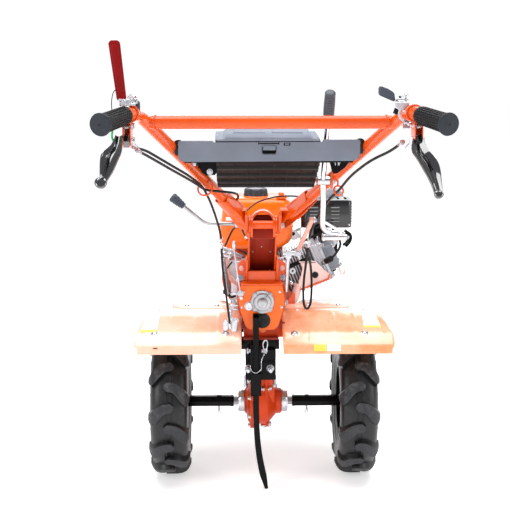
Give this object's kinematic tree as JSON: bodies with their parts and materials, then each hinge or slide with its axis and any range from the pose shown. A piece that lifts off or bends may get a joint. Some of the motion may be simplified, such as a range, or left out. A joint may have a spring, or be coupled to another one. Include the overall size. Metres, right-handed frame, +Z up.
{
  "type": "hand tractor",
  "caption": "Two-wheeled walking tractor with lugged tyres, orange fenders and gear case, petrol engine in front, tilting handlebar with tool box, and a drag stake behind.",
  "frame": {"origin": "middle of the bounding box on the floor plane that the tyres and the drag stake stand on", "axes": "+Z up, +Y forward in the direction of travel, +X to the operator's right; the axle and every hinge lie along X"},
  "size_m": [0.7468, 1.4269, 1.22],
  "materials": {
    "orange": "gloss",
    "black_paint": "gloss",
    "red_paint": "gloss",
    "zinc": "satin",
    "chrome_rod": "polished",
    "casting": "satin",
    "tyre": "matte",
    "rubber": "matte",
    "rim": "satin",
    "grey_plastic": "satin",
    "black_plastic": "satin",
    "tank": "gloss",
    "alu": "satin",
    "cable": "satin",
    "shroud": "gloss",
    "filter": "satin"
  },
  "bodies": {
    "chassis": {"final_drive_case": "casting", "bearing_caps": "zinc", "gearbox": "casting", "gearbox_rear_cover": "orange", "pto_flange": "zinc", "rubber_plug": "rubber", "hitch_bracket": "black_paint", "drag_stake": "black_paint", "hitch_pin": "zinc", "column_foot": "orange", "column": "orange", "gear_link": "zinc", "cables_lower": "cable", "fender_rear_right": "orange", "fender_rear_left": "orange", "fender_fronts": "orange", "fender_stays": "black_paint", "engine_base": "alu", "crankcase": "alu", "cylinder_head": "alu", "fuel_tank": "tank", "fuel_cap": "black_plastic", "muffler": "black_paint", "air_cleaner": "filter", "carburettor": "alu", "fan_shroud": "shroud", "recoil_starter": "black_plastic", "front_frame": "black_paint", "bumper": "black_paint"},
    "left_wheel": {"tyre_left": "tyre", "rim_left": "rim", "hub_tube_left": "black_paint", "half_shaft_left": "zinc"},
    "right_wheel": {"tyre_right": "tyre", "rim_right": "rim", "hub_tube_right": "black_paint", "half_shaft_right": "zinc"},
    "handlebar": {"arm_left": "orange", "arm_right": "orange", "cross_tube": "orange", "clamp_lever": "chrome_rod", "grips": "rubber", "lever_brackets": "orange", "hand_levers": "black_paint", "clutch_lever": "red_paint", "throttle_lever": "zinc", "tool_box": "black_plastic", "tool_box_panel": "grey_plastic", "gear_lever": "chrome_rod", "gear_lever_grip": "rubber", "gear_lever_pivot": "zinc", "cables_upper": "cable", "cable_rings": "orange"},
    "box_lid": {"tool_box_lid": "grey_plastic"}
  },
  "joints": [
    {"name": "left_wheel_spin", "type": "hinge", "parent": "chassis", "child": "left_wheel", "pos_m": [-0.26, 0.21345, 0.205], "axis": [1, 0, 0], "continuous": true},
    {"name": "right_wheel_spin", "type": "hinge", "parent": "chassis", "child": "right_wheel", "pos_m": [0.26, 0.21345, 0.205], "axis": [1, 0, 0], "continuous": true},
    {"name": "handlebar_tilt", "type": "hinge", "parent": "chassis", "child": "handlebar", "pos_m": [-0.006, -0.00155, 0.745], "axis": [-1, 0, 0], "range_deg": [-12, 15]},
    {"name": "box_lid_hinge", "type": "hinge", "parent": "handlebar", "child": "box_lid", "pos_m": [-0.003, -0.17055, 0.996], "axis": [-1, 0, 0], "range_deg": [0, 95]}
  ]
}
